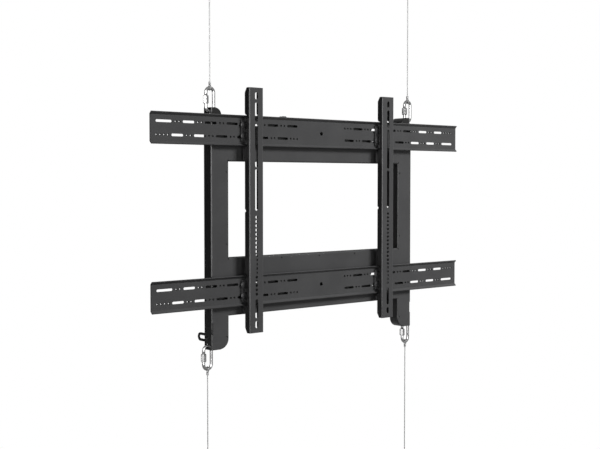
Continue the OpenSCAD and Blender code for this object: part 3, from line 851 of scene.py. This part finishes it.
@dataclass(frozen=True)
class Lamp:
    """One soft lamp that faces the mount.

    Matt surfaces take its light unless lights_matt is off, and glossy ones mirror it unless gleams is off.
    """

    name: str
    place: Vector
    width: float
    height: float
    power: float
    lights_matt: bool = True
    gleams: bool = True

    def build(self, target: Vector) -> None:
        """Makes the lamp.

        Args:
            target: the point that it faces.
        """
        data = bpy.data.lights.new(self.name, "AREA")
        data.shape = "RECTANGLE"
        data.size = self.width
        data.size_y = self.height
        data.energy = self.power
        made = bpy.data.objects.new(self.name, data)
        away = np.array(self.place) - np.array(target)
        flat = math.hypot(away[0], away[1])
        made.location = self.place
        made.rotation_euler = (math.atan2(flat, away[2]), 0.0, math.atan2(away[1], away[0]) + math.pi / 2.0)
        made.visible_diffuse = self.lights_matt
        made.visible_glossy = self.gleams
        bpy.context.scene.collection.objects.link(made)


# A key from the front right, a weak fill, a lamp for the back, and two panels that only mirrors see
LAMPS = (
    Lamp("key_lamp", (2.1, -2.2, 1.35), 1.0, 1.0, 220.0, gleams=False),
    Lamp("fill_lamp", (-1.75, -1.75, -0.1), 0.3, 1.4, 2.0),
    Lamp("rear_lamp", (0.4, 2.8, 1.0), 1.8, 1.8, 150.0, gleams=False),
    Lamp("left_panel", (-2.44, -0.89, -0.45), 1.6, 2.6, 60.0, lights_matt=False),
    Lamp("front_panel", (-1.3, -2.25, -0.45), 1.8, 2.6, 75.0, lights_matt=False),
)


@dataclass
class Studio:
    """Camera, lamps, world, floor and card."""

    lens: float = 63.78
    sensor: float = 36.0
    near_clip: float = 0.01
    place: Vector = (-1.4747, -1.6769, -0.4419)
    pitch_down: float = 2.33
    turn_right: float = 40.45
    target: Vector = (0.0, 0.0, -0.5)
    sky_light: float = 0.02
    mirror_light: float = 0.4
    floor_size: float = 14.0
    card_width: float = 7.0
    card_behind: float = 1.6
    card_lift: float = 0.02
    card_rise: float = 0.9

    def build(self) -> None:
        """Makes the whole studio."""
        self.camera()
        for lamp in LAMPS:
            lamp.build(self.target)
        self.world()
        self.floor()
        self.back_card()

    def camera(self) -> None:
        """Sets the camera at the photograph's place and angle."""
        data = bpy.data.cameras.new("photo_camera")
        data.lens = self.lens
        data.sensor_width = self.sensor
        data.sensor_fit = "HORIZONTAL"
        data.clip_start = self.near_clip
        made = bpy.data.objects.new("photo_camera", data)
        made.location = self.place
        made.rotation_euler = (math.radians(90.0 - self.pitch_down), 0.0, math.radians(-self.turn_right))
        bpy.context.scene.collection.objects.link(made)
        bpy.context.scene.camera = made

    def world(self) -> None:
        """White to the camera, grey in reflections and dim as a source of light."""
        world = bpy.data.worlds.new("studio_world")
        bpy.context.scene.world = world
        tree = Finish(world)
        level = white_rays(tree, self.mirror_light) * (1.0 - self.sky_light) + self.sky_light
        tree.end(tree.wire("ShaderNodeBackground", inputs={"Color": WHITE, "Strength": level}))

    def floor(self) -> None:
        """Lays the pale floor under the floor plates."""
        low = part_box("left_floor_plate")[0][2]
        half = self.floor_size / 2.0
        corners = [(-half, -half, low), (half, -half, low), (half, half, low), (-half, half, low)]
        self.sheet("studio_floor", corners, StudioFloor().material())

    def back_card(self) -> None:
        """Stands a dark card behind the mount, seen in reflections only, to outline bright metal."""
        low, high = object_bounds()
        floor, top = low[2] + self.card_lift, high[2] + self.card_rise
        half, behind = self.card_width / 2.0, self.card_behind
        corners = [(-half, behind, floor), (half, behind, floor), (half, behind, top), (-half, behind, top)]
        card = self.sheet("back_card", corners, BlackCard().material())
        card.visible_camera = False
        card.visible_transmission = False
        card.visible_shadow = False

    def sheet(self, name: str, corners: Sequence[Vector], material: bpy.types.Material) -> bpy.types.Object:
        """Makes one flat piece of the studio.

        Args:
            name: its name.
            corners: its four corners.
            material: its finish.

        Returns:
            The object.
        """
        mesh = bpy.data.meshes.new(name)
        mesh.from_pydata(corners, [], [(0, 1, 2, 3)])
        mesh.materials.append(material)
        made = bpy.data.objects.new(name, mesh)
        bpy.context.scene.collection.objects.link(made)
        made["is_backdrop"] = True
        return made


def rope_route(side: Side, level: Level) -> List[Vector]:
    """Points that a rope follows, from its ferrule to its gripper.

    Args:
        side: left or right.
        level: upper or lower.

    Returns:
        The points.
    """
    low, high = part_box(level.node(side, "rope"))
    x = (low[0] + high[0]) / 2.0
    y = (low[1] + high[1]) / 2.0
    return [(x, y, z) for z in ROPE_HEIGHTS[level]]


@dataclass
class Suspension:
    """One corner's link, eye, ferrule, rope and gripper."""

    side: Side
    level: Level
    route: Sequence[Vector]
    lay: RopeLay = field(default_factory=RopeLay)
    ferrule_form: FerruleForm = field(default_factory=FerruleForm)
    link_form: LinkForm = field(default_factory=LinkForm)
    apex_rise: float = 3.0 * MM
    eye_rings: int = 60

    def name(self, piece: str) -> str:
        """Node name of one of this corner's pieces."""
        return self.level.node(self.side, piece)

    def box(self, piece: str) -> Tuple[np.ndarray, np.ndarray]:
        """Lowest and highest corner of one of this corner's nodes."""
        low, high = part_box(self.name(piece))
        return np.array(low), np.array(high)

    def finish_piece(self, grid: np.ndarray, piece: str, ending: str,
                     metal: bpy.types.Material) -> bpy.types.Object:
        """Makes a piece from its grid.

        Args:
            grid: its surface.
            piece: the node's last word.
            ending: the word that the new piece's name adds.
            metal: the finish.

        Returns:
            The piece.
        """
        made = mesh_object(f"{self.name(piece)}_{ending}", [grid])
        made.data.materials.append(metal)
        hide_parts(self.name(piece))
        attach(made, "frame")
        LOG.info("%s: %d faces", made.name, len(made.data.polygons))
        return made

    def eye(self, metal: bpy.types.Material) -> bpy.types.Object:
        """The rope's loop round the link's crown.

        An arc round the rod's middle, from one tangent point through the far side to the other, with straight
        legs that lean together towards a point above the rod and stop in the ferrule.

        Args:
            metal: the finish.

        Returns:
            The loop.
        """
        up = self.level.value
        link_low, link_high = self.box("link")
        eye_low, eye_high = self.box("eye")
        rod = link_high[1] - link_low[1]
        centre = (eye_low + eye_high) / 2.0
        crown = link_high[2] - rod / 2.0 if up > 0 else link_low[2] + rod / 2.0
        far, end = (eye_low[2], eye_high[2]) if up > 0 else (eye_high[2], eye_low[2])
        radius = abs(crown - far) - self.lay.diameter / 2.0
        apex = radius + self.apex_rise
        touch = math.acos(radius / apex)
        sweep = np.linspace(touch, FULL_TURN - touch, self.eye_rings)
        arc = np.stack([np.sin(sweep), np.cos(sweep)], axis=1) * radius
        rise = abs(end - crown)
        tip = (apex - rise) * math.tan(math.pi / 2.0 - touch)
        flat = np.concatenate([[[tip, rise]], arc, [[-tip, rise]]])
        path = np.full((len(flat), 3), centre[0])
        path[:, 1] = centre[1] + flat[:, 0]
        path[:, 2] = crown + up * flat[:, 1]
        return self.finish_piece(self.lay.surface(path), "eye", "laid", metal)

    def ferrule(self, metal: bpy.types.Material) -> bpy.types.Object:
        """Oval sleeve pressed onto the two legs of the eye.

        Args:
            metal: the finish.

        Returns:
            The ferrule.
        """
        return self.finish_piece(self.ferrule_form.surface(*self.box("ferrule")), "ferrule", "pressed", metal)

    def link(self, metal: bpy.types.Material) -> bpy.types.Object:
        """Quick link, whose thread is as long as its sleeve.

        Args:
            metal: the finish.

        Returns:
            The link.
        """
        sleeve_low, sleeve_high = self.box("sleeve")
        reach = (sleeve_high[2] - sleeve_low[2]) / 2.0
        return self.finish_piece(self.link_form.surface(*self.box("link"), reach), "link", "bent", metal)

    def rope(self, metal: bpy.types.Material, with_pieces: List[bpy.types.Object]) -> bpy.types.Object:
        """The taut rope from the ferrule to its gripper.

        Args:
            metal: the finish.
            with_pieces: eye, ferrule and gripper on this rope. Not used.

        Returns:
            The rope.
        """
        points = np.array(self.route)
        made = self.finish_piece(self.lay.surface(points), "rope", "laid", metal)
        return made

    def build(self, rope_metal: bpy.types.Material, link_metal: bpy.types.Material,
              ferrule_metal: bpy.types.Material, frame: Dict[str, Any]) -> None:
        """Makes this corner's pieces.

        Args:
            rope_metal: finish of rope and eye.
            link_metal: finish of the link.
            ferrule_metal: finish of the ferrule.
            frame: the loaded frame.
        """
        eye = self.eye(rope_metal)
        ferrule = self.ferrule(ferrule_metal)
        self.rope(rope_metal, [eye, ferrule, frame["nodes"][self.name("gripper")]])
        self.link(link_metal)


@dataclass
class RailStuds:
    """The threaded studs behind one rail."""

    node: str
    places: Sequence[float] = (-0.215, -0.060, 0.060, 0.215)
    thread: Thread = Thread(pitch=1.0 * MM, depth=0.4 * MM)
    ring_step: float = 0.14 * MM
    points: int = 24

    def build(self, metal: bpy.types.Material) -> bpy.types.Object:
        """Makes the studs as screw threads that run along Y, their free ends chamfered.

        Args:
            metal: the finish.

        Returns:
            One object that holds all the studs.
        """
        low, high = (np.array(c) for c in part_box(self.node))
        radius = (high[2] - low[2]) / 2.0
        height = (high[2] + low[2]) / 2.0
        along = np.arange(low[1], high[1], self.ring_step)
        along[-1] = high[1]
        screw = self.thread.radii(along, turn(self.points), radius)
        chamfer = radius - self.thread.depth + (high[1] - along)
        radii = np.minimum(screw, chamfer[:, None])
        grids = []
        for x in self.places:
            path = np.stack([np.full(len(along), x), along, np.full(len(along), height)], axis=1)
            grids.append(tube(path, X_AXIS, radii))
        made = mesh_object(f"{self.node}_threaded", grids)
        made.data.materials.append(metal)
        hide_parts(self.node)
        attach(made, "frame")
        LOG.info("%s: %d faces", made.name, len(made.data.polygons))
        return made


@dataclass
class CarriedOver:
    """Solids that stay as packed: sheet metal, spacers, fasteners, sleeves, grippers, plates and level."""

    frame: Dict[str, Any]

    def dress(self, finishes: Dict[str, bpy.types.Material]) -> None:
        """Gives each CAD node its own finish, or else the finish of its material slot.

        Args:
            finishes: material by node name or slot name.
        """
        slots = {s["node"]: s["material_slot"] for s in self.frame["record"]["subparts"]}
        for name, node in self.frame["nodes"].items():
            material = finishes.get(name, finishes[slots[name]])
            node.data.materials.clear()
            node.data.materials.append(material)
            LOG.info("%s: %s", name, material.name)


def main() -> None:
    """Builds the studio, the ropes and fittings, and dresses the carried-over solids."""
    logging.basicConfig(level=logging.INFO, format="%(message)s")
    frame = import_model()
    bpy.context.scene.view_settings.view_transform = "Standard"
    Studio().build()
    rope_steel, stainless, ferrule_steel, zinc = (
        metal.material() for metal in (ROPE_STEEL, POLISHED_STAINLESS, PRESSED_FERRULE, DARK_ZINC))
    for level in Level:
        for side in Side:
            corner = Suspension(side, level, rope_route(side, level))
            corner.build(rope_steel, stainless, ferrule_steel, frame)
    for node in ("top_rail_studs", "bottom_rail_studs"):
        RailStuds(node).build(zinc)
    vial_low, vial_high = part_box("level_vial")
    vial_centre = tuple((a + b) / 2.0 for a, b in zip(vial_low, vial_high))
    # The hangers get the darker coat, whose tint is painted shade.
    painted_shade_hanger_coat = HANGER_SHADE_COAT.material()
    CarriedOver(frame).dress({
        "black_coat": SATIN_COAT.material(),
        "left_hanger": painted_shade_hanger_coat,
        "right_hanger": painted_shade_hanger_coat,
        "stainless": stainless,
        "zinc": zinc,
        "level_plastic": MouldedPlastic().material(),
        "vial": VialLiquid().material(vial_centre),
    })


if __name__ == "__main__":
    main()
